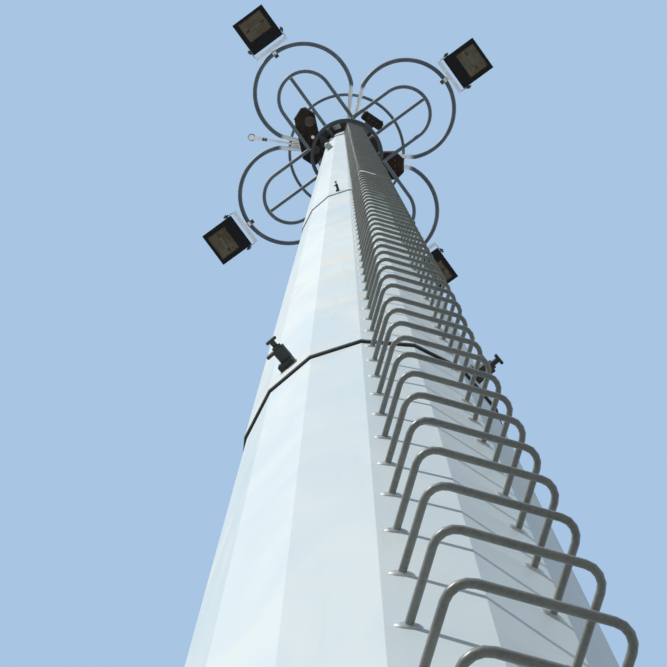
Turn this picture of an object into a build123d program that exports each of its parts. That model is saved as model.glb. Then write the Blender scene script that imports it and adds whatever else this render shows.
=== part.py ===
from build123d import *
from math import cos, radians, sin, sqrt
import os

# Monopole tower: a 16-sided tapered steel pole in three sections that slip over each other, a row of
# climbing rungs up one corner, and a head of four bent-tube petals that carry tilting floodlights.
# Millimetres, +Z up, origin in the middle of the base flange's underside. The rungs face -Y.
# An azimuth is measured from -Y towards +X, seen from above.

# Pole
SIDES = 16
BASE_RADIUS = 515  # corner radius at the ground
TAPER = 0.0035  # loss of radius for each millimetre of height
WALL = 8
SLIP_STEP = 10  # how far each upper section's bottom stands outside the one it slips over
OVERLAP = 1100
LOWER_JOINT_Z = 7390
UPPER_JOINT_Z = 15690
POLE_TOP_Z = 33600

# Base flange
FLANGE_RADIUS = 760
FLANGE_THICK = 50
FLANGE_OPENING = 430
ANCHOR_COUNT = 12
ANCHOR_CIRCLE = 660
ANCHOR_HOLE = 21
GUSSET_HEIGHT = 280
GUSSET_REACH = 180
GUSSET_THICK = 16

# Climbing rungs
RUNG_PITCH = 300
FIRST_RUNG_Z = 2516
RUNG_WIDTH = 300
RUNG_PROJECTION = 169
RUNG_DIAMETER = 17
RUNG_CORNER = 38
LOWER_RUNGS = 17
MIDDLE_RUNGS = 27
UPPER_RUNGS = 58

# Locking bolts round each slip joint
LUG_HEIGHT_ABOVE_JOINT = 200
LUG_PAD = 70
LUG_PAD_THICK = 24
LUG_PLATE = 64
LUG_PLATE_THICK = 20
LUG_SHAFT_RADIUS = 10
LUG_REACH = 110
LUG_HEAD_RADIUS = 22
LUG_HEAD_THICK = 14
LOWER_LUG_AZIMUTH = -56.25
UPPER_LUG_AZIMUTH = -33.75
UPPER_LUG_SCALE = 0.75

# Head
HEAD_Z = 33400
LOWER_HEAD_Z = 32150
FIRST_PETAL_AZIMUTH = -52
PETAL_COUNT = 4
COLLAR_RADIUS = 590
COLLAR_THICK = 90
SLEEVE_RADIUS = 455
SLEEVE_BELOW = 120
SLEEVE_ABOVE = 140
CAP_THICK = 12
CAP_RADIUS = 440
HOOP_RADIUS = 1115
HUB_RING_RADIUS = 650
PETAL_CENTRE = 1420
PETAL_RADIUS = 945
PETAL_LEG_ANGLE = 40
KINK_BEND = 60
INNER_HALF_WIDTH = 500
INNER_TIP = 1810

# Radii of the head's tubes
OUTER_TUBE = 42
INNER_TUBE = 34
HOOP_TUBE = 30
HUB_TUBE = 36
SPOKE_TUBE = 32
STUB_TUBE = 28

# Floodlight housing, window, reflector and glass
LIGHT_CENTRE = 2910
LIGHT_SIZE = 700
LIGHT_TOP = 520
LIGHT_HEIGHT = 190
LIGHT_WALL = 6
RIM_HEIGHT = 20
RIM_STEP = 20
RIM_CORNER = 12
FACE_THICK = 8
WINDOW_X = 85  # the window's middle lies farther out than the housing's
WINDOW_LENGTH = 404
WINDOW_WIDTH = 510
GLASS_THICK = 6
GLASS_LAP = 12
REFLECTOR_WALL = 4
REFLECTOR_STAGES = ((0, 0), (70, 60), (220, 112))  # narrowing against height
RIB_COUNT = 9
RIB_PITCH = 52
RIB_THICK = 6
RIB_HEIGHT = 30
EAR_LENGTH = 84
EAR_DEPTH = 70

# Floodlight bracket
PIVOT_RADIUS = 2660
PIVOT_PIN = 11
PIN_CLEARANCE = 0.06
PIN_DEPTH = 40
YOKE_THICK = 10
YOKE_WIDTH = 60
YOKE_GAP = 8
RAIL_REACH = 185
RAIL_WIDTH = 70
RAIL_HEIGHT = 45
RAIL_WALL = 6
LOCK_RADIUS = 55
LOCK_THICK = 26
CLAMP_WALL = 8
CLAMP_LENGTH = 80
CLAMP_WEB = 30

# Equipment boxes: azimuth and distance of the middle, azimuth faced, depth, width, height, corner
EQUIPMENT_Z = 32580
BOXES = {
    "left": (-80, 796, -118, 380, 1090, 690, 150),
    "right": (89, 816, 73, 570, 520, 560, 130),
    "rear": (21.3, 798, 18.4, 170, 440, 420, 30),
}
BOX_EDGE = 18
BRACKET_SIZE = 60

# Obstruction light
ARM_AZIMUTH = -97
ARM_TUBE = 20
ARM_START = 900
ARM_SINK = 24  # how far the arm's axis lies under the top of the legs beside it
SADDLE_X = 1000
SADDLE_LENGTH = 140
SADDLE_WIDTH = 210
SADDLE_THICK = 8
NECK_START = 1690
NECK_RADIUS = 36
LAMP_X = 1880
CUP_RADIUS = 56
CUP_HEIGHT = 84
LAMP_RADIUS = 66
LAMP_HEIGHT = 110

os.makedirs("parts", exist_ok=True)


def write(piece, name):
    """Label a finished piece and write it to its own file."""
    piece.label = name
    export_step(piece, f"parts/{name}.step")


def turned(part, azimuth, height=0):
    """A copy of a part that was made along +X, turned to an azimuth and raised."""
    return Pos(0, 0, height) * part.rotate(Axis.Z, azimuth - 90)


def lower_radius(z):
    return BASE_RADIUS - TAPER * z


def middle_radius(z):
    return lower_radius(z) + SLIP_STEP


def upper_radius(z):
    return middle_radius(z) + SLIP_STEP


def polygon_loft(radius_at, z_bottom, z_top, mode=Mode.ADD):
    """A tapered 16-sided solid between two heights."""
    sections = []
    for z in (z_bottom, z_top):
        with BuildSketch(Plane.XY.offset(z)) as section:
            RegularPolygon(radius=radius_at(z), side_count=SIDES)
        sections.append(section.sketch.face())
    return loft(sections, mode=mode)


def box_loft(sections, centre_x, mode=Mode.ADD):
    """A solid through level rectangles, each (length, width, height), centred on one X."""
    faces = []
    for length, width, z in sections:
        with BuildSketch(Plane.XY.offset(z)) as section:
            with Locations((centre_x, 0)):
                Rectangle(length, width)
        faces.append(section.sketch.face())
    return loft(faces, ruled=True, mode=mode)


def ring_tube(radius, tube, z, mode=Mode.ADD):
    """A round tube bent into a level ring round the pole's axis."""
    with BuildSketch(Plane.XZ) as section:
        with Locations((radius, z)):
            Circle(tube)
    return revolve(section.sketch, axis=Axis.Z, mode=mode)


def round_bar(start_x, end_x, radius, z, mode=Mode.ADD):
    """A round bar along +X."""
    with BuildSketch(Plane(origin=(start_x, 0, z), z_dir=(1, 0, 0))) as section:
        Circle(radius)
    return extrude(section.sketch, end_x - start_x, mode=mode)


# Pole sections: hollow, each one's inside is the outside of the section that it slips over
with BuildPart() as pole_lower:
    polygon_loft(lower_radius, FLANGE_THICK, LOWER_JOINT_Z + OVERLAP)
    polygon_loft(lambda z: lower_radius(z) - WALL, FLANGE_THICK, LOWER_JOINT_Z + OVERLAP, Mode.SUBTRACT)
write(pole_lower.part, "pole_lower")

with BuildPart() as pole_middle:
    polygon_loft(middle_radius, LOWER_JOINT_Z, UPPER_JOINT_Z + OVERLAP)
    polygon_loft(lower_radius, LOWER_JOINT_Z, UPPER_JOINT_Z + OVERLAP, Mode.SUBTRACT)
write(pole_middle.part, "pole_middle")

with BuildPart() as pole_upper:
    polygon_loft(upper_radius, UPPER_JOINT_Z, POLE_TOP_Z)
    polygon_loft(middle_radius, UPPER_JOINT_Z, POLE_TOP_Z, Mode.SUBTRACT)
write(pole_upper.part, "pole_upper")

with BuildPart() as pole_cap:
    with BuildSketch(Plane.XY.offset(POLE_TOP_Z)):
        RegularPolygon(radius=CAP_RADIUS, side_count=SIDES)
    extrude(amount=CAP_THICK)
write(pole_cap.part, "pole_cap")

# Base flange: a ring plate with anchor holes, and a gusset up the pole between each pair of them
with BuildPart() as base_flange:
    with BuildSketch():
        Circle(FLANGE_RADIUS)
        Circle(FLANGE_OPENING, mode=Mode.SUBTRACT)
        with PolarLocations(ANCHOR_CIRCLE, ANCHOR_COUNT):
            Circle(ANCHOR_HOLE, mode=Mode.SUBTRACT)
    extrude(amount=FLANGE_THICK)
    gusset_root = lower_radius(FLANGE_THICK) - 20
    with BuildSketch(Plane.XZ) as gusset_profile:
        with BuildLine():
            Polyline(
                (gusset_root, FLANGE_THICK),
                (lower_radius(0) + GUSSET_REACH, FLANGE_THICK),
                (lower_radius(0) + GUSSET_REACH, FLANGE_THICK + 30),
                (lower_radius(0) + 30, FLANGE_THICK + GUSSET_HEIGHT),
                (gusset_root, FLANGE_THICK + GUSSET_HEIGHT),
                close=True,
            )
        make_face()
    with PolarLocations(0, ANCHOR_COUNT, start_angle=180 / ANCHOR_COUNT):
        add(extrude(gusset_profile.sketch, GUSSET_THICK / 2, both=True, mode=Mode.PRIVATE))
    polygon_loft(lower_radius, FLANGE_THICK, FLANGE_THICK + GUSSET_HEIGHT + 1, Mode.SUBTRACT)
write(base_flange.part, "base_flange")

# One rung: a bent bar with its feet at the pole, its middle out by the projection
half_width = RUNG_WIDTH / 2
with BuildPart() as rung:
    with BuildLine() as rung_line:
        Polyline(
            (-half_width, 60, 0),
            (-half_width, -RUNG_PROJECTION + RUNG_CORNER, 0),
            (-half_width + RUNG_CORNER, -RUNG_PROJECTION, 0),
            (half_width - RUNG_CORNER, -RUNG_PROJECTION, 0),
            (half_width, -RUNG_PROJECTION + RUNG_CORNER, 0),
            (half_width, 60, 0),
        )
    with BuildSketch(Plane(origin=(-half_width, 60, 0), z_dir=(0, -1, 0))):
        RegularPolygon(radius=RUNG_DIAMETER / 2, side_count=6)
    sweep(path=rung_line.line, transition=Transition.RIGHT)


def rung_row(name, radius_at, first, count):
    """Rungs first to first + count - 1, each with its feet cut to the pole's facets."""
    places = []
    for i in range(first, first + count):
        z = FIRST_RUNG_Z + RUNG_PITCH * i
        places.append((0, -radius_at(z) * cos(radians(180 / SIDES)), z))
    with BuildPart() as row:
        with Locations(*places):
            add(rung.part)
        polygon_loft(radius_at, places[0][2] - 50, places[-1][2] + 50, Mode.SUBTRACT)
    write(row.part, name)


rung_row("rungs_lower", lower_radius, 0, LOWER_RUNGS)
rung_row("rungs_middle", middle_radius, LOWER_RUNGS, MIDDLE_RUNGS)
rung_row("rungs_upper", upper_radius, LOWER_RUNGS + MIDDLE_RUNGS, UPPER_RUNGS)


def joint_bolts(name, radius_at, joint_z, azimuth, scale=1.0):
    """Four locking bolts round a slip joint, each a pad, a nut plate, a shaft and a head."""
    z = joint_z + LUG_HEIGHT_ABOVE_JOINT
    face = radius_at(z) * cos(radians(180 / SIDES))
    outward = Plane(origin=(face, 0, z), x_dir=(0, 1, 0), z_dir=(1, 0, 0))
    pad = LUG_PAD_THICK * scale
    plate = LUG_PLATE_THICK * scale
    reach = LUG_REACH * scale
    with BuildPart() as bolt:
        with BuildSketch(outward.offset(-6)):
            Rectangle(LUG_PAD * scale, LUG_PAD * scale)
        extrude(amount=pad + 6)
        with BuildSketch(outward.offset(pad)):
            Circle(LUG_HEAD_RADIUS * scale)
        extrude(amount=pad)
        with BuildSketch(outward.offset(2 * pad)):
            Rectangle(LUG_PLATE * scale, LUG_PLATE * scale, rotation=45)
        extrude(amount=plate)
        with BuildSketch(outward.offset(2 * pad + plate)):
            Circle(LUG_SHAFT_RADIUS * scale)
        extrude(amount=reach - 2 * pad - plate)
        with BuildSketch(outward.offset(reach)):
            RegularPolygon(radius=LUG_HEAD_RADIUS * scale, side_count=6)
        extrude(amount=LUG_HEAD_THICK * scale)
    with BuildPart() as ring:
        for k in range(4):
            add(turned(bolt.part, azimuth + 90 * k))
        polygon_loft(radius_at, joint_z, joint_z + 2 * LUG_HEIGHT_ABOVE_JOINT, Mode.SUBTRACT)
    write(ring.part, name)


joint_bolts("lower_joint_bolts", middle_radius, LOWER_JOINT_Z, LOWER_LUG_AZIMUTH)
joint_bolts("upper_joint_bolts", upper_radius, UPPER_JOINT_Z, UPPER_LUG_AZIMUTH, UPPER_LUG_SCALE)

# Head collar: a sleeve on the pole's top and the ring plate that the petals' legs are welded to
with BuildPart() as head_collar:
    with BuildSketch(Plane.XY.offset(HEAD_Z - SLEEVE_BELOW)):
        Circle(SLEEVE_RADIUS)
    extrude(amount=SLEEVE_BELOW + SLEEVE_ABOVE)
    with BuildSketch(Plane.XY.offset(HEAD_Z - COLLAR_THICK / 2)):
        Circle(COLLAR_RADIUS)
    extrude(amount=COLLAR_THICK)
    polygon_loft(upper_radius, HEAD_Z - 2 * SLEEVE_BELOW, POLE_TOP_Z, Mode.SUBTRACT)
write(head_collar.part, "head_collar")

# Hoop: it lies on the petals' legs and ties them together
with BuildPart() as hoop:
    ring_tube(HOOP_RADIUS, HOOP_TUBE, HEAD_Z + OUTER_TUBE + HOOP_TUBE)
write(hoop.part, "hoop")

# Hub ring: lower down, held to the pole by four stubs
with BuildPart() as hub_ring:
    ring_tube(HUB_RING_RADIUS, HUB_TUBE, LOWER_HEAD_Z)
    stub = round_bar(380, HUB_RING_RADIUS, STUB_TUBE, LOWER_HEAD_Z, Mode.PRIVATE)
    for k in range(PETAL_COUNT):
        add(turned(stub, FIRST_PETAL_AZIMUTH + 90 * k))
    polygon_loft(upper_radius, LOWER_HEAD_Z - 100, LOWER_HEAD_Z + 100, Mode.SUBTRACT)
write(hub_ring.part, "hub_ring")

# One outer petal, along +X: a radial leg, a kink, a round loop, a kink and a radial leg
leg_x = cos(radians(PETAL_LEG_ANGLE))
leg_y = sin(radians(PETAL_LEG_ANGLE))
leg_middle = PETAL_CENTRE * leg_x
kink_distance = leg_middle + sqrt(leg_middle**2 - PETAL_CENTRE**2 + PETAL_RADIUS**2)
kink = (kink_distance * leg_x, kink_distance * leg_y)
leg_start = ((COLLAR_RADIUS - 30) * leg_x, (COLLAR_RADIUS - 30) * leg_y)
with BuildPart() as outer_petal:
    with BuildLine() as petal_line:
        Line(leg_start, kink)
        ThreePointArc(kink, (PETAL_CENTRE + PETAL_RADIUS, 0), (kink[0], -kink[1]))
        Line((kink[0], -kink[1]), (leg_start[0], -leg_start[1]))
        fillet(petal_line.vertices().sort_by(Axis.X)[2:], KINK_BEND)
    with BuildSketch(petal_line.line ^ 0):
        Circle(OUTER_TUBE)
    sweep(path=petal_line.line)
    Cylinder(COLLAR_RADIUS, 200, mode=Mode.SUBTRACT)

# One inner petal, along +X: two level legs and a round tip. The legs are mitred where the next
# petals' legs meet them, and rest against the hub ring.
arc_centre = INNER_TIP - INNER_HALF_WIDTH
with BuildPart() as inner_petal:
    with BuildLine() as inner_line:
        Line((0, INNER_HALF_WIDTH), (arc_centre, INNER_HALF_WIDTH))
        ThreePointArc((arc_centre, INNER_HALF_WIDTH), (INNER_TIP, 0), (arc_centre, -INNER_HALF_WIDTH))
        Line((arc_centre, -INNER_HALF_WIDTH), (0, -INNER_HALF_WIDTH))
    with BuildSketch(inner_line.line ^ 0):
        Circle(INNER_TUBE)
    sweep(path=inner_line.line)
    with BuildSketch(Plane.XY.offset(-INNER_TUBE - 5)):
        Polygon((0, 0), (2 * INNER_TIP, -2 * INNER_TIP), (2 * INNER_TIP, 2 * INNER_TIP), align=None)
    extrude(amount=2 * INNER_TUBE + 10, mode=Mode.INTERSECT)
    ring_tube(HUB_RING_RADIUS, HUB_TUBE, 0, Mode.SUBTRACT)

# One spoke, along +X: from the hub ring to the inner petal's tip
with BuildPart() as spoke:
    round_bar(HUB_RING_RADIUS, INNER_TIP, SPOKE_TUBE, 0)
    ring_tube(HUB_RING_RADIUS, HUB_TUBE, 0, Mode.SUBTRACT)
    add(inner_petal.part, mode=Mode.SUBTRACT)

with BuildPart() as spokes:
    for k in range(PETAL_COUNT):
        add(turned(spoke.part, FIRST_PETAL_AZIMUTH + 90 * k, LOWER_HEAD_Z))
write(spokes.part, "spokes")

# One floodlight, along +X, facing straight down at rest. First the bracket that stays with the
# petal: a clamp round the petal's tip, a channel as crossbar, and an arm with a pin to each side.
tip_x = PETAL_CENTRE + PETAL_RADIUS
rail_x = PIVOT_RADIUS - RAIL_REACH
half_size = LIGHT_SIZE / 2
arm_inner = half_size + YOKE_GAP
arm_outer = arm_inner + YOKE_THICK
with BuildPart() as bracket:
    with BuildSketch(Plane.XZ.offset(-arm_outer)):
        with Locations((rail_x, HEAD_Z)):
            Rectangle(RAIL_WIDTH, RAIL_HEIGHT)
        with Locations((rail_x, HEAD_Z + RAIL_WALL)):
            Rectangle(RAIL_WIDTH - 2 * RAIL_WALL, RAIL_HEIGHT, mode=Mode.SUBTRACT)
    extrude(amount=2 * arm_outer)
    for side in (-1, 1):
        pivot = Plane(origin=(PIVOT_RADIUS, side * arm_inner, HEAD_Z), x_dir=(1, 0, 0), z_dir=(0, side, 0))
        with BuildSketch(pivot):
            Circle(YOKE_WIDTH / 2)
            with Locations((-RAIL_REACH / 2, 0)):
                Rectangle(RAIL_REACH, YOKE_WIDTH)
        extrude(amount=YOKE_THICK)
        with BuildSketch(pivot.offset(YOKE_THICK)):
            Circle(LOCK_RADIUS)
        extrude(amount=LOCK_THICK)
        with BuildSketch(pivot.offset(-YOKE_GAP - PIN_DEPTH)):
            Circle(PIVOT_PIN)
        extrude(amount=PIN_DEPTH + YOKE_GAP + YOKE_THICK + LOCK_THICK + 10)
    with Locations(Location((tip_x, 0, HEAD_Z), (90, 0, 0))):
        Cylinder(OUTER_TUBE + CLAMP_WALL, CLAMP_LENGTH)
    with Locations(((tip_x + rail_x - RAIL_WIDTH / 2) / 2, 0, HEAD_Z)):
        Box(rail_x - RAIL_WIDTH / 2 - tip_x, CLAMP_LENGTH, CLAMP_WEB)
    add(Pos(0, 0, HEAD_Z) * outer_petal.part, mode=Mode.SUBTRACT)

# The housing: a thin cast pan with a window in its face plate, cooling ribs on its back, and an
# ear with a blind bore for the pin on each side
housing_bottom = HEAD_Z - LIGHT_HEIGHT / 2
housing_top = housing_bottom + LIGHT_HEIGHT
window_x = LIGHT_CENTRE + WINDOW_X
pan_size = LIGHT_SIZE - 2 * RIM_STEP
cavity_size = pan_size - 2 * LIGHT_WALL
cavity_top = LIGHT_TOP - 2 * LIGHT_WALL
rim_top = housing_bottom + RIM_HEIGHT
with BuildPart() as housing:
    with BuildSketch(Plane.XY.offset(housing_bottom)):
        with Locations((LIGHT_CENTRE, 0)):
            RectangleRounded(LIGHT_SIZE, LIGHT_SIZE, RIM_CORNER)
    extrude(amount=RIM_HEIGHT)
    box_loft(((pan_size, pan_size, rim_top), (LIGHT_TOP, LIGHT_TOP, housing_top)), LIGHT_CENTRE)
    box_loft(
        (
            (cavity_size, cavity_size, housing_bottom + FACE_THICK),
            (cavity_size, cavity_size, rim_top),
            (cavity_top, cavity_top, housing_top - LIGHT_WALL),
        ),
        LIGHT_CENTRE,
        Mode.SUBTRACT,
    )
    with Locations((window_x, 0, housing_bottom)):
        Box(WINDOW_LENGTH, WINDOW_WIDTH, 3 * FACE_THICK, mode=Mode.SUBTRACT)
    with Locations((LIGHT_CENTRE, 0, housing_top + RIB_HEIGHT / 2 - 1)):
        with GridLocations(1, RIB_PITCH, 1, RIB_COUNT):
            Box(LIGHT_TOP - 60, RIB_THICK, RIB_HEIGHT)
    for side in (-1, 1):
        with Locations((PIVOT_RADIUS, side * (half_size - EAR_DEPTH / 2), HEAD_Z)):
            Box(EAR_LENGTH, EAR_DEPTH, EAR_LENGTH)
        with Locations(Location((PIVOT_RADIUS, side * half_size, HEAD_Z), (90, 0, 0))):
            Cylinder(PIVOT_PIN + PIN_CLEARANCE, 2 * PIN_DEPTH + 10, mode=Mode.SUBTRACT)

# The glass lies on the face plate round the window
glass_z = housing_bottom + FACE_THICK
glass_length = WINDOW_LENGTH + 2 * GLASS_LAP
glass_width = WINDOW_WIDTH + 2 * GLASS_LAP
with BuildPart() as glass:
    with Locations((window_x, 0, glass_z + GLASS_THICK / 2)):
        Box(glass_length, glass_width, GLASS_THICK)

# The reflector: a flange that holds the glass down, and a trough of bent sheet in two slopes
flange_z = glass_z + GLASS_THICK
trough_outside = []
trough_inside = []
for narrowing, height in REFLECTOR_STAGES:
    length = WINDOW_LENGTH - narrowing
    width = WINDOW_WIDTH - narrowing
    trough_inside.append((length, width, flange_z + height))
    trough_outside.append((length + 2 * REFLECTOR_WALL, width + 2 * REFLECTOR_WALL, flange_z + height))
crown_length, crown_width, crown_z = trough_outside[-1]
with BuildPart() as reflector:
    with Locations((window_x, 0, flange_z + REFLECTOR_WALL / 2)):
        Box(glass_length + 16, glass_width + 16, REFLECTOR_WALL)
    box_loft(trough_outside, window_x)
    with Locations((window_x, 0, crown_z + REFLECTOR_WALL / 2)):
        Box(crown_length, crown_width, REFLECTOR_WALL)
    box_loft(trough_inside, window_x, Mode.SUBTRACT)

for k in range(PETAL_COUNT):
    azimuth = FIRST_PETAL_AZIMUTH + 90 * k
    write(turned(outer_petal.part, azimuth, HEAD_Z), f"outer_petal_{k + 1}")
    write(turned(inner_petal.part, azimuth, LOWER_HEAD_Z), f"inner_petal_{k + 1}")
    write(turned(bracket.part, azimuth), f"light_bracket_{k + 1}")
    write(turned(housing.part, azimuth), f"light_housing_{k + 1}")
    write(turned(reflector.part, azimuth), f"light_reflector_{k + 1}")
    write(turned(glass.part, azimuth), f"light_glass_{k + 1}")

# Equipment boxes, each with its corners cut off and on a bracket of its own from the pole
boxes = {}
for name, (azimuth, distance, facing, depth, width, height, corner) in BOXES.items():
    with BuildPart() as box:
        Box(depth, width, height)
        chamfer(box.edges().filter_by(Axis.Z), corner)
        chamfer(box.faces().filter_by(Axis.Z).edges(), BOX_EDGE)
    placed = Pos(distance, 0, EQUIPMENT_Z) * box.part.rotate(Axis.Z, facing - azimuth)
    boxes[name] = turned(placed, azimuth)
    write(boxes[name], f"equipment_box_{name}")

with BuildPart() as brackets:
    for name, (azimuth, distance, *_) in BOXES.items():
        with BuildPart(mode=Mode.PRIVATE) as bar:
            with Locations((distance / 2, 0, EQUIPMENT_Z)):
                Box(distance, 3 * BRACKET_SIZE, BRACKET_SIZE)
        add(turned(bar.part, azimuth) - boxes[name])
    polygon_loft(upper_radius, EQUIPMENT_Z - 200, EQUIPMENT_Z + 200, Mode.SUBTRACT)
write(brackets.part, "equipment_brackets")

# Obstruction light: its arm lies between two neighbouring legs and hangs from a saddle plate on
# them, and ends in a neck and a cup for the lamp
leg_top = HEAD_Z + OUTER_TUBE
arm_z = leg_top - ARM_SINK
cup_top = arm_z + CUP_HEIGHT / 2
with BuildPart() as arm:
    round_bar(ARM_START, LAMP_X, ARM_TUBE, arm_z)
    round_bar(NECK_START, LAMP_X, NECK_RADIUS, arm_z)
    with Locations((LAMP_X, 0, arm_z)):
        Cylinder(CUP_RADIUS, CUP_HEIGHT)
    with Locations((SADDLE_X, 0, leg_top + SADDLE_THICK / 2)):
        Box(SADDLE_LENGTH, SADDLE_WIDTH, SADDLE_THICK)
    with Locations((SADDLE_X, 0, leg_top - ARM_SINK / 2 + 2)):
        Box(SADDLE_LENGTH - 20, SADDLE_THICK, ARM_SINK + 4)
write(turned(arm.part, ARM_AZIMUTH), "lamp_arm")

with BuildPart() as lamp:
    with BuildSketch(Plane.XY.offset(cup_top)):
        with Locations((LAMP_X, 0)):
            Circle(LAMP_RADIUS)
    extrude(amount=LAMP_HEIGHT)
    fillet(lamp.edges().group_by(Axis.Z)[-1], 45)
write(turned(lamp.part, ARM_AZIMUTH), "obstruction_lamp")
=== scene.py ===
from collections import namedtuple
from math import cos, pi, radians, sin, tan

import bmesh
import bpy
from mathutils import Matrix, Vector


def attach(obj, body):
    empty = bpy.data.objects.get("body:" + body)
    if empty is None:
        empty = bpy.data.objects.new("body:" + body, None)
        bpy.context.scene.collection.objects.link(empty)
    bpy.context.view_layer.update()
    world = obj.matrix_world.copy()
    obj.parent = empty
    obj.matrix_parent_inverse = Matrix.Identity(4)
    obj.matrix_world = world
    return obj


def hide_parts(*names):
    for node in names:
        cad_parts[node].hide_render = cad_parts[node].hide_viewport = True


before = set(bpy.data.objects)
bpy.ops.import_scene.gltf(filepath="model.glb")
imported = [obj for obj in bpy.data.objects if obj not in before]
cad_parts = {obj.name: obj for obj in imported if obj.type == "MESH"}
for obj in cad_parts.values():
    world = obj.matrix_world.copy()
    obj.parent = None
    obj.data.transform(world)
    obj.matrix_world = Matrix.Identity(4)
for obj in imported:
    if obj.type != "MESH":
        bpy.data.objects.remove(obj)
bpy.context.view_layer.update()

# Everything is in metres. The pole stands on the origin, its rungs face -Y, and an azimuth is
# measured from -Y towards +X, as in the solids.
SIDES = 16
FACET = 360 / SIDES
HALF_FACET = pi / SIDES
BASE_RADIUS = 0.515
TAPER = 0.0035
SLIP_STEP = 0.010
LOWER_JOINT_Z = 7.390
UPPER_JOINT_Z = 15.690
FLANGE_TOP = 0.050
ANCHOR_CIRCLE = 0.660
ANCHOR_COUNT = 12
GUSSET_AZIMUTH = 15
GUSSET_REACH = 0.180
GUSSET_HEIGHT = 0.280
GUSSET_THICK = 0.016
WELD_RIPPLE = 0.012
CLAMP_Z = 27.300
CLAMP_AZIMUTH = -56.25

FIRST_RUNG_Z = 2.516
RUNG_PITCH = 0.300
RUNG_HALF_WIDTH = 0.150
RUNG_PROJECTION = 0.169
RUNG_RADIUS = 0.0085
RUNG_BEND = 0.040
RUNG_ROOT = 0.030  # how far behind the pole's face a rung's foot starts
RUNG_ROWS = {"lower": (0, 17), "middle": (17, 27), "upper": (44, 58)}

# Lugs round the slip joints, each with its joint, first azimuth, size and share of the full width
LUG_ABOVE_JOINT = 0.200
LUG_COUNT = 4
LUGS = {"lower": (LOWER_JOINT_Z, -56.25, 1.0, 1.0), "upper": (UPPER_JOINT_Z, -33.75, 0.75, 0.62)}

# Head
PETAL_COUNT = 4
HEAD_Z = 33.400
LOWER_HEAD_Z = 32.150
FIRST_PETAL_AZIMUTH = -52
LEG_ANGLE = 40
COLLAR_RADIUS = 0.590
COLLAR_THICK = 0.090
COLLAR_BOLT_CIRCLE = 0.523
COLLAR_BOLT_COUNT = 12
COLLAR_BOLT_AZIMUTH = -7
COLLAR_BOLT = (0.076, 0.030, 0.046, 0.006)  # across its corners, head, washer's radius and thickness
HOOP_RADIUS = 1.115
HUB_RING_RADIUS = 0.650
OUTER_TUBE = 0.042
INNER_TUBE = 0.034
HUB_TUBE = 0.036
STUB_TUBE = 0.028
SPOKE_TUBE = 0.032
PETAL_TIP = 2.365
INNER_TIP = 1.810
MITRE_RADIUS = 0.7071  # where two inner petals' legs meet
MITRE_STRETCH = 1.414  # a tube cut at 45 degrees is this much wider across the cut

# Cable trays under the ring plate: first azimuth and sweep of each, and their section
TRAYS = ((-100, 56), (26, 80))
TRAY_RADIUS = 0.558
TRAY_Z = 33.262
TRAY_WIDTH = 0.166
TRAY_HEIGHT = 0.060
TRAY_WALL = 0.005
TRAY_DEPTH = 0.052
HANGER_RADIUS = 0.592
HANGER_Z = 33.335

# Floodlight, along +X
LIGHT_CENTRE = 2.910
LIGHT_SIZE = 0.700
LIGHT_BOTTOM = HEAD_Z - 0.095
WINDOW_X = 2.995
WINDOW_LENGTH = 0.404
WINDOW_WIDTH = 0.510
PIVOT_X = 2.660
LOCK_FACE = 0.394  # outside of the lock discs on the bracket's arms
GEAR_COVER_X = 2.6775
TUBE_LAMP_Z = LIGHT_BOTTOM + 0.068
GLAND_PLACE = (2.598, 0.120, HEAD_Z - 0.020)

# Equipment boxes: the azimuth and distance of the middle, the azimuth faced, and the measures
EQUIPMENT_Z = 32.580
Box = namedtuple("Box", "azimuth distance faced depth width height corner")
BOXES = {
    "left": Box(-80, 0.796, -118, 0.380, 1.090, 0.690, 0.150),
    "right": Box(89, 0.816, 73, 0.570, 0.520, 0.560, 0.130),
    "rear": Box(21.3, 0.798, 18.4, 0.170, 0.440, 0.420, 0.030),
}
# Cable glands under each box: how many, how far apart, and how far in front of its middle
GLANDS = {"left": (4, 0.11, 0.11), "right": (3, 0.10, 0.12), "rear": (3, 0.09, 0.0)}
# Round covers under the boxes: radius, thickness, and place from the box's middle
DRUMS = {
    "left": ((0.100, 0.028, -0.075, 0.27), (0.085, 0.026, -0.070, -0.27)),
    "right": ((0.110, 0.030, -0.08, 0.02),),
}

# Obstruction light
ARM_AZIMUTH = -97
ARM_Z = HEAD_Z + 0.018
COUPLING_X = 1.620
LAMP_X = 1.880
LAMP_SEAT = ARM_Z + 0.042

# Camera: its place, and its turn in degrees
CAMERA_PLACE = (-0.5183, -1.3335, 1.6474)
CAMERA_TURN = (171.0329, -0.2168, -15.8292)
CAMERA_LENS = 87.186

# The head's tubes, gone dull and blue: where they are darkest and palest
DULL_TUBE = ((0.225, 0.285, 0.345), (0.345, 0.405, 0.465))
# How far from the pole's axis the painted highlight on the petals' legs ends, and the painted shade on the
# brackets begins
PETAL_HIGHLIGHT_FADE = (1.30, 1.40)
BRACKET_SHADE_FADE = (2.525, 2.545)

UP_TO_OUT = Matrix.Rotation(pi / 2, 4, "Y")  # lays a piece that stands along +Z down along +X
UPSIDE_DOWN = Matrix.Rotation(pi, 4, "X")


def pole_radius(z):
    """Corner radius of the pole's outside at a height."""
    steps = (z >= LOWER_JOINT_Z) + (z >= UPPER_JOINT_Z)
    return BASE_RADIUS - TAPER * z + SLIP_STEP * steps


def facing(azimuth, radius=0.0, z=0.0):
    """Turns a piece made along +X to an azimuth, and moves it out from the pole's axis and up."""
    return Matrix.Rotation(radians(azimuth - 90), 4, "Z") @ Matrix.Translation((radius, 0, z))


def round_pole(count, first, radius, z=0.0):
    """Places spaced evenly round the pole's axis, the first of them at an azimuth."""
    return [facing(first + 360 / count * k, radius, z) for k in range(count)]


def pole_face(z, azimuth):
    """Distance from the axis to the pole's flat side at a height and azimuth."""
    off = radians(azimuth % FACET - FACET / 2)
    return pole_radius(z) * cos(HALF_FACET) / cos(off)


# Materials

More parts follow.
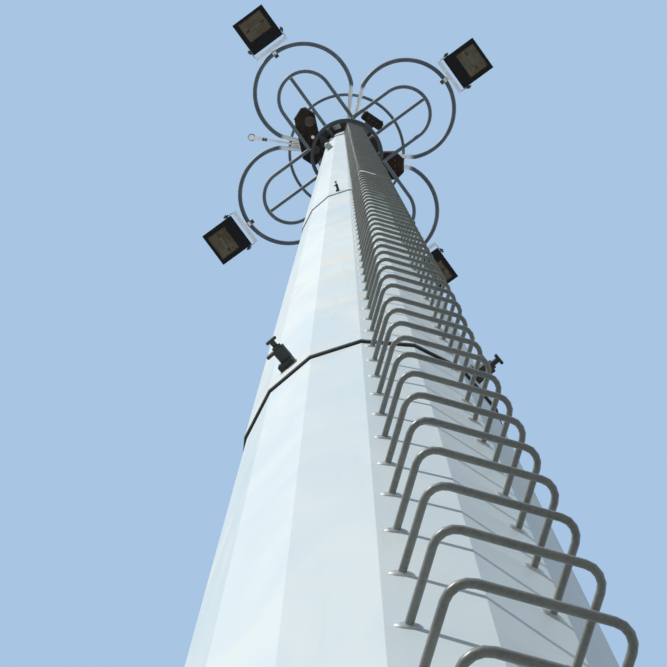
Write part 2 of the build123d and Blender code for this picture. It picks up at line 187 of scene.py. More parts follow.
class Value:
    """One number, colour or vector inside a finish. Arithmetic on it adds the nodes that do it."""

    def __init__(self, finish, socket):
        self.finish = finish
        self.socket = socket

    def __add__(self, other):
        return self.finish.math("ADD", self, other)

    def __radd__(self, other):
        return self.finish.math("ADD", other, self)

    def __sub__(self, other):
        return self.finish.math("SUBTRACT", self, other)

    def __rsub__(self, other):
        return self.finish.math("SUBTRACT", other, self)

    def __mul__(self, other):
        return self.finish.math("MULTIPLY", self, other)

    def __rmul__(self, other):
        return self.finish.math("MULTIPLY", other, self)


def opaque(colour):
    """A colour as a socket takes it, with its alpha. A value stays as it is."""
    return colour if isinstance(colour, Value) else (*colour, 1)


class Finish:
    """The nodes of one look: a material of the tower, or its surroundings."""

    def __init__(self, name, library=bpy.data.materials):
        self.look = library.new(name)
        self.look.use_nodes = True
        self.tree = self.look.node_tree
        self.tree.nodes.clear()
        self.place = self.node("TexCoord", output="Object")

    def node(self, kind, settings=None, values=None, output=0):
        """A node of one kind: its settings first, then the values or links of its sockets."""
        made = self.tree.nodes.new("ShaderNode" + kind)
        for name, setting in (settings or {}).items():
            setattr(made, name, setting)
        for name, value in (values or {}).items():
            if isinstance(value, Value):
                self.tree.links.new(value.socket, made.inputs[name])
            else:
                made.inputs[name].default_value = value
        return Value(self, made.outputs[output]) if made.outputs else None

    def math(self, operation, first, second):
        """A Math node on two numbers."""
        return self.node("Math", {"operation": operation}, {0: first, 1: second})

    def noise(self, scale, detail=3.0, rough=0.55, stretch=None, distort=0.0):
        """Noise on Object coordinates, which may be scaled along each axis."""
        where = self.place
        if stretch:
            where = self.node("Mapping", None, {"Vector": where, "Scale": stretch})
        return self.node("TexNoise", None, {"Vector": where, "Scale": scale, "Detail": detail,
                                            "Roughness": rough, "Distortion": distort})

    def reach(self):
        """How far a point is from the pole's axis."""
        x = self.node("SeparateXYZ", None, {"Vector": self.place}, "X")
        y = self.node("SeparateXYZ", None, {"Vector": self.place}, "Y")
        return self.math("SQRT", x * x + y * y, 0.0)

    def band(self, value, low, high):
        """0 below low, 1 above high and a smooth rise between them."""
        values = {"Value": value, 1: low, 2: high, 3: 0.0, 4: 1.0}
        return self.node("MapRange", {"interpolation_type": "SMOOTHSTEP"}, values)

    def blend(self, factor, first, second):
        """The first colour where the factor is 0, and the second where it is 1."""
        values = {0: factor, 6: opaque(first), 7: opaque(second)}
        return self.node("Mix", {"data_type": "RGBA"}, values, 2)

    def seen_directly(self):
        """1 where the camera, gloss or glass sees a surface, and 0 where it only gives light."""
        camera, gloss, glass = (self.node("LightPath", output=f"Is {ray} Ray")
                                for ray in ("Camera", "Glossy", "Transmission"))
        return self.math("MAXIMUM", self.math("MAXIMUM", camera, gloss), glass)

    def bump(self, height, strength, distance):
        """A surface's fine relief, as a normal."""
        return self.node("Bump", None, {"Height": height, "Strength": strength, "Distance": distance})

    def surface(self, colour, roughness, metallic=0.0, normal=None, **constants):
        """The finish's shader and its output."""
        values = {"Base Color": opaque(colour), "Roughness": roughness, "Metallic": metallic}
        if normal is not None:
            values["Normal"] = normal
        names = {"ior": "IOR", "transmission": "Transmission Weight", "coat": "Coat Weight",
                 "alpha": "Alpha", "specular": "Specular IOR Level"}
        for name, value in constants.items():
            values[names[name]] = value
        shader = self.node("BsdfPrincipled", None, values)
        self.node("OutputMaterial", None, {"Surface": shader})
        return self.look


def pole_paint():
    """Off-white paint with a cool tone, cloudy dirt that rain has drawn down, and warm smears above
    the lower joint."""
    f = Finish("pole_paint")
    broad = f.noise(0.55, 4, 0.6, (1.0, 1.0, 0.35), 0.6)
    smears = f.noise(2.2, 4, 0.62, (1.0, 1.0, 1.9), 1.0)
    plates = f.noise(2.6, 3, 0.6, (1.0, 1.0, 0.5), 1.2)
    streaks = f.noise(9.0, 4, 0.65, (1.0, 1.0, 0.06), 0.3)
    specks = f.noise(160.0, 2, 0.7)
    height = f.node("SeparateXYZ", None, {"Vector": f.place}, "Z")
    upper = f.band(height, LOWER_JOINT_Z, LOWER_JOINT_Z + 0.02)
    colour = f.blend(f.band(broad, 0.40, 0.64), (0.675, 0.780, 0.830), (0.755, 0.845, 0.860))
    colour = f.blend(f.band(plates, 0.48, 0.72) * 0.40, colour, (0.770, 0.815, 0.785))
    colour = f.blend(f.band(smears, 0.50, 0.66) * (upper * 0.55 + 0.08), colour, (0.830, 0.790, 0.700))
    # Greyer and darker up the pole, rising from 12 m to full at 22 m.
    colour = f.blend(f.band(height, 12.0, 22.0) * 0.34, colour, (0.56, 0.62, 0.64))
    colour = f.blend(f.band(streaks, 0.55, 0.80) * 0.28, colour, (0.48, 0.53, 0.545))
    colour = f.blend(f.band(specks, 0.66, 0.78) * 0.25, colour, (0.40, 0.38, 0.34))
    rough = 0.42 + f.band(plates, 0.35, 0.7) * 0.16 + specks * 0.06
    relief = plates * 0.5 + f.noise(28.0, 3, 0.6, (1, 1, 0.4)) * 0.2
    return f.surface(colour, rough, 0.0, f.bump(relief, 0.22, 0.006))


def galvanised(name, dark, light, dull=0.42, metal=0.75, scale=22.0):
    """Hot-dip zinc: cloudy patches, fine crystals and a dusty top layer."""
    f = Finish(name)
    clouds = f.noise(scale * 0.2, 4, 0.6, distort=0.8)
    crystals = f.node("TexVoronoi", {"feature": "F1"}, {"Vector": f.place, "Scale": scale * 5}, "Distance")
    fine = f.noise(scale * 14, 3, 0.7)
    colour = f.blend(f.band(clouds, 0.38, 0.66), dark, light)
    colour = f.blend(f.band(crystals, 0.25, 0.75) * 0.35, colour, tuple(v * 1.25 for v in light))
    colour = f.blend(f.band(fine, 0.60, 0.80) * 0.35, colour, tuple(v * 0.55 for v in dark))
    rough = dull + f.band(clouds, 0.3, 0.7) * 0.12 + fine * 0.10
    metallic = metal - f.band(fine, 0.55, 0.8) * 0.3 if metal > 0.3 else metal
    return f.surface(colour, rough, metallic, f.bump(fine * 0.6 + crystals * 0.3, 0.15, 0.001))


def petal_tube_painted_glint():
    """The outer petals: legs of bright zinc as far as the kinks, a painted highlight for the sun's glint on
    them, and loops in the head's dull blue-grey.
    """
    f = Finish("petal_tube_painted_glint")
    clouds = f.noise(2.0, 4, 0.6, distort=0.8)
    fine = f.noise(120.0, 3, 0.7)
    # Painted highlight: the legs near the pole get bright zinc, and past the fade the loops take the dull
    # tube colour.
    dull = f.band(f.reach() + clouds * 0.12, *PETAL_HIGHLIGHT_FADE)
    zinc = f.blend(f.band(clouds, 0.38, 0.66), (0.68, 0.71, 0.73), (0.80, 0.82, 0.83))
    grey = f.blend(f.band(clouds, 0.38, 0.66), *DULL_TUBE)
    colour = f.blend(dull, zinc, grey)
    colour = f.blend(f.band(fine, 0.60, 0.80) * 0.3, colour, (0.20, 0.21, 0.22))
    return f.surface(colour, 0.28 + dull * 0.16 + fine * 0.1, 0.85 - dull * 0.85,
                     f.bump(fine, 0.15, 0.0008))


def bracket_zinc_painted_shade():
    """The lights' brackets: a crossbar of bright zinc, and arms and discs painted near-black beside the
    housing as painted shade.
    """
    f = Finish("bracket_zinc_painted_shade")
    clouds = f.noise(5.0, 4, 0.6, distort=0.8)
    fine = f.noise(150.0, 3, 0.7)
    dark = f.band(f.reach(), *BRACKET_SHADE_FADE)
    zinc = f.blend(f.band(clouds, 0.38, 0.66), (0.60, 0.66, 0.73), (0.74, 0.79, 0.84))
    # Painted shade: the near-black colour on the arms and discs beside the housing.
    grime_and_painted_shade = f.blend(f.band(clouds, 0.38, 0.66), (0.045, 0.052, 0.058), (0.085, 0.092, 0.098))
    colour = f.blend(dark, zinc, grime_and_painted_shade)
    colour = f.blend(f.band(fine, 0.60, 0.80) * 0.3, colour, (0.16, 0.165, 0.17))
    return f.surface(colour, 0.26 + dark * 0.2 + fine * 0.08, 0.9 - dark * 0.7, f.bump(fine, 0.15, 0.0008))


def weathered_paint(name, base, dust, rough=0.48, size=3.4):
    """Paint or ceramic with clouds of dust or dirt settled on it, and small pale chips."""
    f = Finish(name)
    clouds = f.noise(size, 4, 0.6, distort=1.0)
    grain = f.noise(90.0, 3, 0.7)
    chips = f.noise(24.0, 5, 0.75)
    colour = f.blend(f.band(clouds, 0.42, 0.66) * 0.75, base, dust)
    colour = f.blend(f.band(chips, 0.66, 0.72) * 0.5, colour, tuple(min(1.0, v * 2.4 + 0.02) for v in dust))
    roughness = rough + f.band(clouds, 0.3, 0.8) * 0.18 + grain * 0.08
    return f.surface(colour, roughness, 0.0, f.bump(grain + chips * 0.4, 0.2, 0.001), specular=0.22)


def reflector_gold():
    """Anodised reflector sheet, pale gold with broad darker and reddish clouds."""
    f = Finish("reflector_gold")
    tint = f.noise(1.6, 2, 0.5, distort=0.6)
    stain = f.noise(5.0, 3, 0.55)
    colour = f.blend(f.band(tint, 0.38, 0.64), (0.66, 0.57, 0.39), (0.90, 0.83, 0.66))
    colour = f.blend(f.band(stain, 0.48, 0.72) * 0.55, colour, (0.70, 0.46, 0.33))
    return f.surface(colour, 0.42 + stain * 0.14, 0.0, f.bump(stain, 0.04, 0.004))


def lamp_glass():
    """Clear sheet glass with a smoky tint and a film of dust."""
    f = Finish("lamp_glass")
    veil = f.band(f.noise(6.0, 4, 0.65), 0.45, 0.75)
    colour = f.blend(veil * 0.5, (0.035, 0.036, 0.032), (0.16, 0.145, 0.115))
    return f.surface(colour, 0.05 + veil * 0.10, alpha=0.12 + veil * 0.08, ior=1.45)


def red_lens():
    """The obstruction light's ribbed red plastic, faded under its dust."""
    f = Finish("red_lens")
    dust = f.noise(30.0, 4, 0.65)
    ribs = f.node("TexWave", {"wave_type": "BANDS", "bands_direction": "Z"},
                  {"Vector": f.place, "Scale": 26.0})
    colour = f.blend(f.band(dust, 0.5, 0.8) * 0.5, (0.55, 0.035, 0.02), (0.42, 0.20, 0.14))
    return f.surface(colour, 0.16 + dust * 0.2, 0.0, f.bump(ribs, 0.5, 0.003), ior=1.49, transmission=0.35)


def frosted_glass():
    """The floodlight lamp's milky glass."""
    f = Finish("frosted_glass")
    bloom = f.noise(18.0, 3, 0.6)
    colour = f.blend(f.band(bloom, 0.4, 0.7), (0.88, 0.84, 0.74), (0.72, 0.66, 0.54))
    return f.surface(colour, 0.22 + bloom * 0.15, 0.0, f.bump(bloom, 0.1, 0.001), coat=0.5)


def sealant(name, dark, dusty):
    """Matt rubbery sealant with dust in it."""
    f = Finish(name)
    grime_and_painted_shade = f.noise(26.0, 4, 0.7)
    colour = f.blend(f.band(grime_and_painted_shade, 0.4, 0.7), dark, dusty)
    return f.surface(colour, 0.75 + grime_and_painted_shade * 0.15, 0.0, f.bump(grime_and_painted_shade, 0.4, 0.002))


def ground_matt():
    """Pale where the camera, gloss and glass see it, with a duller bounce under the tower."""
    f = Finish("ground_matt")
    colour = f.blend(f.noise(0.4, 2, 0.5), (0.70, 0.71, 0.71), (0.74, 0.745, 0.74))
    pale = f.node("BsdfPrincipled", None, {"Base Color": colour, "Roughness": 1.0, "Specular IOR Level": 0.0})
    dull = f.node("BsdfDiffuse", None, {"Color": (0.11, 0.11, 0.105, 1)})
    shader = f.node("MixShader", None, {0: f.seen_directly(), 1: dull, 2: pale})
    f.node("OutputMaterial", None, {"Surface": shader})
    return f.look


POLE = pole_paint()
RUNG = galvanised("rung_zinc", (0.215, 0.223, 0.204), (0.275, 0.284, 0.260), dull=0.30, metal=0.12)
PETAL = petal_tube_painted_glint()
BRACKET = bracket_zinc_painted_shade()
HEAD = galvanised("head_zinc", *DULL_TUBE, metal=0.0, scale=9.0)
# Painted shade: the hub ring's zinc is darker than the head's other tubes, for the shadow the ring lies in.
HUB = galvanised("hub_zinc_painted_shade", (0.105, 0.13, 0.15), (0.165, 0.19, 0.205), dull=0.45, metal=0.0, scale=9.0)
# Olive paint, made dark as a painted shade of the ring plate's underside; the cable trays under it share it.
COLLAR = weathered_paint("collar_olive_painted_shade", (0.085, 0.092, 0.074), (0.15, 0.15, 0.12), 0.6)
WHITE = weathered_paint("white_washer", (0.84, 0.86, 0.86), (0.70, 0.71, 0.69), 0.4)
LUG = galvanised("lug_paint", (0.030, 0.038, 0.036), (0.072, 0.080, 0.074), dull=0.55, metal=0.25, scale=40.0)
BOLT = galvanised("bolt_zinc", (0.045, 0.045, 0.042), (0.13, 0.125, 0.11), dull=0.5, metal=0.7, scale=40.0)
BRIGHT = galvanised("bright_zinc", (0.70, 0.71, 0.71), (0.82, 0.82, 0.81), dull=0.24, metal=0.92, scale=30.0)
ZINC = galvanised("dull_zinc", (0.36, 0.37, 0.37), (0.56, 0.57, 0.56), dull=0.38, scale=30.0)
WELD = galvanised("weld_zinc", (0.36, 0.37, 0.36), (0.54, 0.55, 0.53), metal=0.5, scale=50.0)
HOUSING = weathered_paint("housing_black", (0.007, 0.0095, 0.012), (0.026, 0.028, 0.029))
CABINET = weathered_paint("cabinet_brown", (0.019, 0.014, 0.012), (0.105, 0.082, 0.066), 0.5, 2.4)
RUSTY = weathered_paint("cabinet_rusty", (0.030, 0.020, 0.015), (0.150, 0.088, 0.068), 0.5, 2.4)
GOLD = reflector_gold()
GLASS = lamp_glass()
LENS = red_lens()
BULB = frosted_glass()
CERAMIC = weathered_paint("ceramic", (0.42, 0.39, 0.33), (0.22, 0.19, 0.15), 0.6)
COVER = weathered_paint("cover_grey", (0.17, 0.155, 0.14), (0.33, 0.31, 0.28), 0.55)
SEAL = sealant("black_sealant", (0.025, 0.025, 0.024), (0.075, 0.068, 0.058))
# Grey sealant whose colour is a painted shade line under the upper joint's step.
GREY_SEAL_AND_SHADE = sealant("grey_sealant_and_shade", (0.20, 0.22, 0.22), (0.33, 0.35, 0.34))
GROUND = ground_matt()


# Modelling helpers

def clear_selection():
    """Leaves edit mode and selects nothing."""
    if bpy.context.mode != "OBJECT":
        bpy.ops.object.mode_set(mode="OBJECT")
    bpy.ops.object.select_all(action="DESELECT")


def pick(*pieces):
    """Selects these objects alone, the first of them active."""
    clear_selection()
    for piece in pieces:
        piece.select_set(True)
    bpy.context.view_layer.objects.active = pieces[0]


def begin(name):
    """Names the active object: a primitive just added, or pieces just joined."""
    piece = bpy.context.active_object
    piece.name = name
    piece.data.name = name
    return piece


def settle(piece):
    """Place, turn and scale go into the mesh, so that the object stands at the origin."""
    piece.data.transform(piece.matrix_world)
    piece.matrix_world = Matrix.Identity(4)
    return piece


def outward_faces(piece):
    """Merges doubles and turns every face outwards."""
    mesh = bmesh.new()
    mesh.from_mesh(piece.data)
    bmesh.ops.remove_doubles(mesh, verts=mesh.verts, dist=1e-5)
    bmesh.ops.recalc_face_normals(mesh, faces=mesh.faces)
    mesh.to_mesh(piece.data)
    mesh.free()
    return piece


def join_pieces(name, pieces):
    """Several shapes made one object."""
    pick(*pieces)
    if len(pieces) > 1:
        bpy.ops.object.join()
    return begin(name)


def choose_faces(piece, test):
    """Opens a piece in edit mode with only the faces selected whose middle and normal pass a test."""
    pick(piece)
    bpy.ops.object.mode_set(mode="EDIT")
    bpy.ops.mesh.select_mode(type="FACE")
    bpy.ops.mesh.select_all(action="DESELECT")
    mesh = bmesh.from_edit_mesh(piece.data)
    for face in mesh.faces:
        face.select_set(test(face.calc_center_median(), face.normal))
    bmesh.update_edit_mesh(piece.data)


def draw_up(name, sides, steps, hollow=False):
    """A turned piece on the Z axis, extruded from each (radius, height) to the next. A hollow one
    is a ring, and its last step closes on its first."""
    clear_selection()
    radius, z = steps[0]
    fill = "NOTHING" if hollow else "NGON"
    bpy.ops.mesh.primitive_circle_add(vertices=sides, radius=radius, fill_type=fill, location=(0, 0, z))
    piece = settle(begin(name))
    bpy.ops.object.mode_set(mode="EDIT")
    bpy.ops.mesh.select_all(action="SELECT")
    for next_radius, next_z in steps[1:] + (steps[:1] if hollow else ()):
        shift = {"value": (0, 0, next_z - z)}
        if hollow:
            bpy.ops.mesh.extrude_edges_move(TRANSFORM_OT_translate=shift)
        else:
            bpy.ops.mesh.extrude_region_move(TRANSFORM_OT_translate=shift)
        scale = next_radius / radius
        if scale != 1:
            bpy.ops.transform.resize(value=(scale, scale, 1))
        radius, z = next_radius, next_z
    bpy.ops.object.mode_set(mode="OBJECT")
    return outward_faces(piece)


def block(name, size, middle, edge):
    """A block or plate with rounded edges."""
    clear_selection()
    bpy.ops.mesh.primitive_cube_add(size=1, location=middle, scale=size)
    piece = settle(begin(name))
    bpy.ops.object.mode_set(mode="EDIT")
    bpy.ops.mesh.select_all(action="SELECT")
    bpy.ops.mesh.bevel(offset=edge, segments=2, affect="EDGES")
    bpy.ops.object.mode_set(mode="OBJECT")
    return piece


def flat_sheet(name, length, width, middle):
    """A level sheet, left open in edit mode to be shaped."""
    clear_selection()
    bpy.ops.mesh.primitive_plane_add(size=1, location=middle)
    sheet = settle(begin(name))
    bpy.ops.object.mode_set(mode="EDIT")
    bpy.ops.mesh.select_all(action="SELECT")
    bpy.ops.transform.resize(value=(length, width, 1), center_override=middle)
    return sheet


def weld_bead(name, radius, thick):
    """A weld bead round a tube that stands along +Z, with the ripples of the welder's steps."""
    clear_selection()
    bpy.ops.mesh.primitive_torus_add(major_radius=radius, minor_radius=thick, major_segments=26,
                                     minor_segments=6)
    bead = begin(name)
    bpy.ops.object.mode_set(mode="EDIT")
    bpy.ops.mesh.select_all(action="SELECT")
    bpy.ops.transform.resize(value=(1, 1, 1.5))
    bpy.ops.transform.vertex_random(offset=thick * 0.3, seed=7)
    bpy.ops.object.mode_set(mode="OBJECT")
    return bead


def hex_bolt(across, head, washer, washer_thick, stud=0.0, stud_radius=0.0):
    """A washer and a chamfered hex head on the seat z = 0, with the thread's end where it shows."""
    parts = [
        draw_up("washer", 18, ((washer, 0), (washer, washer_thick * 0.7),
                               (washer - washer_thick * 0.3, washer_thick))),
        draw_up("hex", 6, ((across / 2, washer_thick), (across / 2, washer_thick + head * 0.86),
                           (across * 0.43, washer_thick + head))),
    ]
    if stud:
        start = washer_thick + head
        turns = [(stud_radius * 0.9, start)]
        for i in range(1, 9):
            turns.append((stud_radius * (1.0 if i % 2 else 0.9), start + stud * i / 9))
        turns.append((stud_radius * 0.7, start + stud))
        parts.append(draw_up("thread", 12, tuple(turns)))
    return join_pieces("bolt", parts)


def copies(piece, places):
    """The piece's mesh at every place, joined into one object. The piece itself goes."""
    made = []
    for place in places:
        twin = piece.copy()
        twin.data = piece.data.copy()
        twin.data.transform(place)
        bpy.context.scene.collection.objects.link(twin)
        made.append(twin)
    name = piece.name
    bpy.data.objects.remove(piece)
    return join_pieces(name, made)


def finish_piece(piece, material, body="tower", smooth=35):
    """Gives a piece its material, smooth shading below an angle and its body."""
    piece.data.materials.clear()
    piece.data.materials.append(material)
    pick(piece)
    bpy.ops.object.shade_smooth_by_angle(angle=radians(smooth))
    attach(piece, body)
    clear_selection()
    return piece


# Rungs

def one_rung():
    """A round bar bent twice: foot, bend, middle, bend, foot, with its feet at y = 0."""
    clear_selection()
    bpy.ops.mesh.primitive_circle_add(vertices=10, radius=RUNG_RADIUS, rotation=(pi / 2, 0, 0),
                                      location=(-RUNG_HALF_WIDTH, RUNG_ROOT, 0))
    rung = settle(begin("rung"))
    bpy.ops.object.mode_set(mode="EDIT")
    bpy.ops.mesh.select_all(action="SELECT")
    run = RUNG_ROOT + RUNG_PROJECTION - RUNG_BEND
    bend_x = RUNG_HALF_WIDTH - RUNG_BEND
    bend_y = -RUNG_PROJECTION + RUNG_BEND
    bpy.ops.mesh.extrude_edges_move(TRANSFORM_OT_translate={"value": (0, -run, 0)})
    bpy.ops.mesh.spin(steps=4, angle=-pi / 2, center=(-bend_x, bend_y, 0), axis=(0, 0, 1))
    bpy.ops.mesh.extrude_edges_move(TRANSFORM_OT_translate={"value": (2 * bend_x, 0, 0)})
    bpy.ops.mesh.spin(steps=4, angle=-pi / 2, center=(bend_x, bend_y, 0), axis=(0, 0, 1))
    bpy.ops.mesh.extrude_edges_move(TRANSFORM_OT_translate={"value": (0, run, 0)})
    bpy.ops.mesh.select_all(action="DESELECT")
    bpy.ops.mesh.select_non_manifold()
    bpy.ops.mesh.edge_face_add()
    bpy.ops.object.mode_set(mode="OBJECT")
    return outward_faces(rung)


def rung_pad():
    """The weld pad under a rung's foot: a low dome, longer across the pole than along it."""
    pad = draw_up("rung_pad", 12, ((0.016, -0.003), (0.016, 0.0005), (0.0135, 0.0035), (0.0095, 0.0055)))
    pad.data.transform(Matrix.Diagonal((1.0, 1.65, 1.0, 1.0)))
    return pad


bar = one_rung()
foot = rung_pad()
for row, (first, count) in RUNG_ROWS.items():
    bars, feet = [], []
    for i in range(first, first + count):
        z = FIRST_RUNG_Z + RUNG_PITCH * i
        corner = pole_radius(z)
        bars.append(Matrix.Translation((0, -corner * cos(HALF_FACET), z)))
        face_y = -(corner - RUNG_HALF_WIDTH * tan(HALF_FACET))
        for side in (-1, 1):
            lean = Matrix.Rotation(side * HALF_FACET, 4, "Z") @ Matrix.Rotation(pi / 2, 4, "X")
            feet.append(Matrix.Translation((side * RUNG_HALF_WIDTH, face_y, z)) @ lean
                        @ Matrix.Rotation(pi / 2, 4, "Z"))
    rungs = copies(bar.copy(), bars)
    rungs.name = "climbing_rungs_" + row
    finish_piece(rungs, RUNG, smooth=40)
    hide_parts("rungs_" + row)
    pads = copies(foot.copy(), feet)
    pads.name = "rung_pads_" + row
    finish_piece(pads, WELD, smooth=50)
bpy.data.objects.remove(bar)
bpy.data.objects.remove(foot)


# Pole fittings

def joint_seal(name, joint_z, proud, drop):
    """Sealant smeared into the step under an upper section's edge, its dark colour also a painted shade of
    the step's underside: how far it stands proud of that section, and how far down it runs."""
    inner = pole_radius(joint_z - 0.02) - 0.002
    outer = pole_radius(joint_z) + proud
    top = joint_z + (0.004 if proud > 0 else -0.0005)
    return draw_up(name, SIDES, ((inner, joint_z - drop), (outer - 0.003, joint_z - drop * 0.85),
                                 (outer, joint_z - drop * 0.25), (outer, top), (inner, top)), hollow=True)


def jacking_lugs(name, joint_z, azimuth, scale, slim):
    """The lugs round a slip joint: a welded pad, a block, a cross plate, and a screw that ends in a
    bar. Made standing up, with X down the pole and Y round it."""
    turns = tuple((0.0115 if i % 2 else 0.0100, 0.074 + 0.0034 * i) for i in range(12))
    lug = join_pieces(name, [
        block("pad", (0.070, 0.066, 0.030), (0, -0.012, 0.008), 0.004),
        block("block", (0.046, 0.048, 0.050), (0, 0.000, 0.044), 0.003),
        block("cross_plate", (0.044, 0.078, 0.012), (0, -0.014, 0.072), 0.003),
        draw_up("nut", 6, ((0.0165, 0.076), (0.0190, 0.078), (0.0190, 0.086), (0.0165, 0.088))),
        draw_up("thread", 12, turns),
        block("bar", (0.019, 0.046, 0.012), (0, 0.001, 0.114), 0.004),
    ])
    lug.data.transform(Matrix.Diagonal((scale, scale * slim, scale, 1)))
    z = joint_z + LUG_ABOVE_JOINT
    face = pole_radius(z) * cos(HALF_FACET)
    return copies(lug, [place @ UP_TO_OUT for place in round_pole(LUG_COUNT, azimuth, face, z)])


def anchor_bolt():
    """A threaded rod through the flange with a plate washer, a nut and a lock nut."""
    turns = tuple((0.018 if i % 2 else 0.0165, 0.094 + 0.005 * i) for i in range(10))
    return join_pieces("anchor_bolts", [
        draw_up("rod", 14, ((0.018, 0.003), (0.018, 0.055))),
        block("washer", (0.082, 0.082, 0.010), (0, 0, FLANGE_TOP + 0.005), 0.002),
        draw_up("nut", 6, ((0.031, 0.060), (0.034, 0.063), (0.034, 0.086), (0.031, 0.089))),
        draw_up("lock_nut", 6, ((0.030, 0.090), (0.033, 0.092), (0.033, 0.104), (0.030, 0.106))),
        draw_up("thread", 14, turns + ((0.014, 0.146),)),
    ])


def weld_run(length, thick):
    """A straight weld along +Z from the origin, rippled."""
    count = round(length / WELD_RIPPLE)
    steps = [(thick * 0.6, 0.0)]
    steps += [(thick * (1.0 if i % 2 else 0.82), length * i / count) for i in range(1, count)]
    return draw_up("weld", 6, tuple(steps) + ((thick * 0.6, length),))


def gusset_welds():
    """The welds along the foot and the back of each gusset, on both of its sides."""
    along_foot = weld_run(GUSSET_REACH, 0.007)
    up_back = weld_run(GUSSET_HEIGHT - 0.008, 0.007)
    foot_places, back_places = [], []
    for k in range(ANCHOR_COUNT):
        azimuth = GUSSET_AZIMUTH + 360 / ANCHOR_COUNT * k
        wall = pole_face(FLANGE_TOP, azimuth)
        for side in (-1, 1):
            aside = Matrix.Translation((0, side * (GUSSET_THICK / 2 + 0.001), 0))
            foot_places.append(facing(azimuth, wall + 0.005, FLANGE_TOP + 0.001) @ aside @ UP_TO_OUT)
            back_places.append(facing(azimuth, wall - 0.0005, FLANGE_TOP + 0.004) @ aside)
    return join_pieces("gusset_welds", [copies(along_foot, foot_places), copies(up_back, back_places)])


def foot_weld():
    """The weld round the pole's foot."""
    r = pole_radius(FLANGE_TOP)
    steps = ((r - 0.003, FLANGE_TOP - 0.002), (r + 0.010, FLANGE_TOP - 0.002),
             (r + 0.006, FLANGE_TOP + 0.007), (r - 0.003, FLANGE_TOP + 0.011))
    return draw_up("foot_weld", SIDES, steps, hollow=True)


def pole_clamp():
    """A round-nosed bracket on the pole's side, painted with it, on an oval seat with two bolts."""
    nose = draw_up("nose", 24, ((0.056, -0.02), (0.062, 0.0), (0.064, 0.052), (0.056, 0.086), (0.039, 0.108),
                                (0.016, 0.118)))
    seat = draw_up("seat", 24, ((0.084, -0.012), (0.086, 0.002), (0.083, 0.008), (0.062, 0.011)))
    head = hex_bolt(0.020, 0.008, 0.013, 0.003)
    heads = copies(head, [Matrix.Translation((x, 0, 0.005)) for x in (-0.073, 0.073)])
    clamp = join_pieces("pole_clamp", [nose, seat])
    clamp.data.transform(Matrix.Diagonal((1.0, 0.80, 1.0, 1.0)))
    return join_pieces("pole_clamp", [clamp, heads])


# The lower joint's black seal: partly sealant, partly painted shade under the step.
finish_piece(joint_seal("joint_seal_and_shade_lower", LOWER_JOINT_Z, 0.0015, 0.013), SEAL)
# The upper joint's grey seal: a painted shade line under the step.
finish_piece(joint_seal("joint_seal_and_shade_upper", UPPER_JOINT_Z, -0.005, 0.005), GREY_SEAL_AND_SHADE)
for name, (joint_z, azimuth, scale, slim) in LUGS.items():
    lugs = jacking_lugs("jacking_lugs_" + name, joint_z, azimuth, scale, slim)
    finish_piece(lugs, LUG)
    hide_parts(name + "_joint_bolts")
finish_piece(copies(anchor_bolt(), round_pole(ANCHOR_COUNT, 0, ANCHOR_CIRCLE)), ZINC)
finish_piece(gusset_welds(), WELD)
finish_piece(foot_weld(), WELD)
clamp_place = facing(CLAMP_AZIMUTH, pole_radius(CLAMP_Z) * cos(HALF_FACET), CLAMP_Z) @ UP_TO_OUT
finish_piece(copies(pole_clamp(), [clamp_place]), POLE)


# Head fittings

def collar_spots(z):
    """Where the ring plate's bolts stand, at a height."""
    return round_pole(COLLAR_BOLT_COUNT, COLLAR_BOLT_AZIMUTH, COLLAR_BOLT_CIRCLE, z)


def collar_bolts():
    """Plate washers and bolt heads under the ring plate."""
    seat = block("plate_washer", (0.096, 0.150, 0.012), (0, 0, 0.006), 0.004)
    head = hex_bolt(*COLLAR_BOLT)
    head.data.transform(Matrix.Translation((0, 0, 0.012)))
    under = join_pieces("collar_bolts", [seat, head])
    below = HEAD_Z - COLLAR_THICK / 2
    return copies(under, [spot @ UPSIDE_DOWN for spot in collar_spots(below)])


def collar_nuts():
    """The nuts and thread ends above the ring plate."""
    nut = hex_bolt(*COLLAR_BOLT, 0.026, 0.022)
    nut.name = "collar_nuts"
    above = HEAD_Z + COLLAR_THICK / 2
    return copies(nut, collar_spots(above))


def tube_welds():
    """Beads where the head's tubes meet: legs on the ring plate, stubs and spokes on the hub ring,
    and the mitres between the inner petals."""
    legs, stubs, spokes, mitres = [], [], [], []
    for k in range(PETAL_COUNT):
        azimuth = FIRST_PETAL_AZIMUTH + 90 * k
        for lean in (-LEG_ANGLE, LEG_ANGLE):
            legs.append(facing(azimuth + lean, COLLAR_RADIUS + 0.002, HEAD_Z) @ UP_TO_OUT)
        wall = pole_face(LOWER_HEAD_Z, azimuth)
        for radius in (wall + 0.001, HUB_RING_RADIUS - HUB_TUBE + 0.002):
            stubs.append(facing(azimuth, radius, LOWER_HEAD_Z) @ UP_TO_OUT)
        for radius in (HUB_RING_RADIUS + HUB_TUBE - 0.002, INNER_TIP - INNER_TUBE + 0.002):
            spokes.append(facing(azimuth, radius, LOWER_HEAD_Z) @ UP_TO_OUT)
        across = Matrix.Rotation(pi / 2, 4, "X") @ Matrix.Diagonal((MITRE_STRETCH, 1.0, 1.0, 1.0))
        mitres.append(facing(azimuth + 45, MITRE_RADIUS, LOWER_HEAD_Z) @ across)
    return join_pieces("tube_welds", [
        copies(weld_bead("leg_weld", OUTER_TUBE + 0.001, 0.007), legs),
        copies(weld_bead("stub_weld", STUB_TUBE + 0.001, 0.006), stubs),
        copies(weld_bead("spoke_weld", SPOKE_TUBE + 0.001, 0.006), spokes),
        copies(weld_bead("mitre_weld", INNER_TUBE, 0.005), mitres),
    ])


